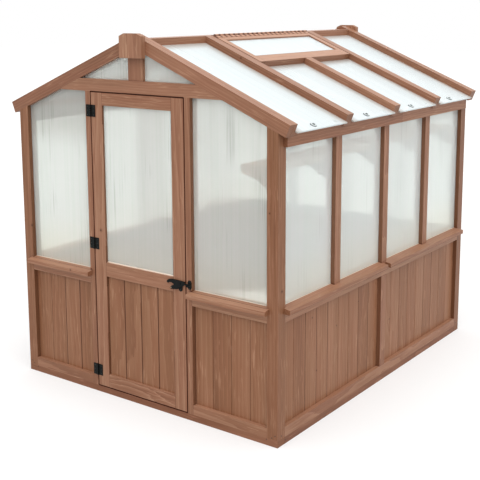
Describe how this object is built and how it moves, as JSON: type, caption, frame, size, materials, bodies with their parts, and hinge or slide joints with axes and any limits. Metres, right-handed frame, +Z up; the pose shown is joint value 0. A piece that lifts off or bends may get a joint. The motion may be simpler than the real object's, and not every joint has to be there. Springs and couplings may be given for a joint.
{
  "type": "walk-in greenhouse",
  "caption": "Walk-in timber greenhouse: boarded lower walls, ribbed translucent glazing, pitched roof with a hinged vent, a hinged door with a latch, and an inner shelf.",
  "frame": {"origin": "on the ground at the middle of the plan", "axes": "+X to the right across the front, +Y from the front with the door to the back, along the ridge, +Z up"},
  "size_m": [2.136, 2.486, 2.239],
  "materials": {
    "frame_wood": "reddish-brown stain on planed softwood, satin",
    "board_wood": "reddish-brown stain on tongued boards, satin",
    "roof_wood": "reddish-brown stain, a little lighter where it faces up",
    "wall_glazing": "translucent ribbed sheet, satin",
    "roof_glazing": "translucent white sheet, satin",
    "black_iron": "black paint, satin"
  },
  "bodies": {
    "house": {"base_frame": "frame_wood", "corner_post_front_left": "frame_wood", "corner_post_front_right": "frame_wood", "corner_post_back_left": "frame_wood", "corner_post_back_right": "frame_wood", "front_truss": "frame_wood", "back_truss": "frame_wood", "front_wall_frame_left": "frame_wood", "front_wall_frame_right": "frame_wood", "left_wall_frame": "frame_wood", "right_wall_frame": "frame_wood", "back_wall_frame": "frame_wood", "shelf": "frame_wood", "front_boards_left": "board_wood", "front_boards_right": "board_wood", "left_boards": "board_wood", "right_boards": "board_wood", "back_boards": "board_wood", "front_glazing": "wall_glazing", "back_glazing": "wall_glazing", "left_glazing": "wall_glazing", "right_glazing": "wall_glazing", "left_rafter_1": "roof_wood", "left_rafter_2": "roof_wood", "left_rafter_3": "roof_wood", "left_rafter_4": "roof_wood", "left_rafter_5": "roof_wood", "right_rafter_1": "roof_wood", "right_rafter_2": "roof_wood", "right_rafter_3": "roof_wood", "right_rafter_4": "roof_wood", "right_rafter_5": "roof_wood", "ridge_beam": "roof_wood", "front_ridge_cap": "roof_wood", "back_ridge_cap": "roof_wood", "vent_trimmer": "roof_wood", "left_roof_sheet_1": "roof_glazing", "left_roof_sheet_2": "roof_glazing", "left_roof_sheet_3": "roof_glazing", "left_roof_sheet_4": "roof_glazing", "right_roof_sheet_1": "roof_glazing", "right_roof_sheet_2": "roof_glazing", "right_roof_sheet_3": "roof_glazing", "right_roof_sheet_4": "roof_glazing", "vent_hinge_ridge_leaf": "black_iron", "door_hinge_jamb_leaf_1": "black_iron", "door_hinge_jamb_leaf_2": "black_iron", "door_hinge_jamb_leaf_3": "black_iron", "latch_catch": "black_iron"},
    "door": {"door_frame": "frame_wood", "door_boards": "board_wood", "door_glazing": "wall_glazing", "door_hinge_door_leaf_1": "black_iron", "door_hinge_door_leaf_2": "black_iron", "door_hinge_door_leaf_3": "black_iron", "latch_plate": "black_iron"},
    "latch": {"latch_lever": "black_iron"},
    "vent": {"vent_frame": "roof_wood", "vent_glazing": "roof_glazing", "vent_hinge_vent_leaf": "black_iron"}
  },
  "joints": [
    {"name": "door_hinge", "type": "hinge", "parent": "house", "child": "door", "pos_m": [-0.3605, -1.2083, 0.96], "axis": [0, 0, -1], "range_deg": [0, 110]},
    {"name": "latch_pivot", "type": "hinge", "parent": "door", "child": "latch", "pos_m": [0.323, -1.2111, 0.82], "axis": [0, -1, 0], "range_deg": [0, 25]},
    {"name": "vent_hinge", "type": "hinge", "parent": "house", "child": "vent", "pos_m": [0.0605, 0, 2.21263], "axis": [0, -1, 0], "range_deg": [0, 40]}
  ]
}
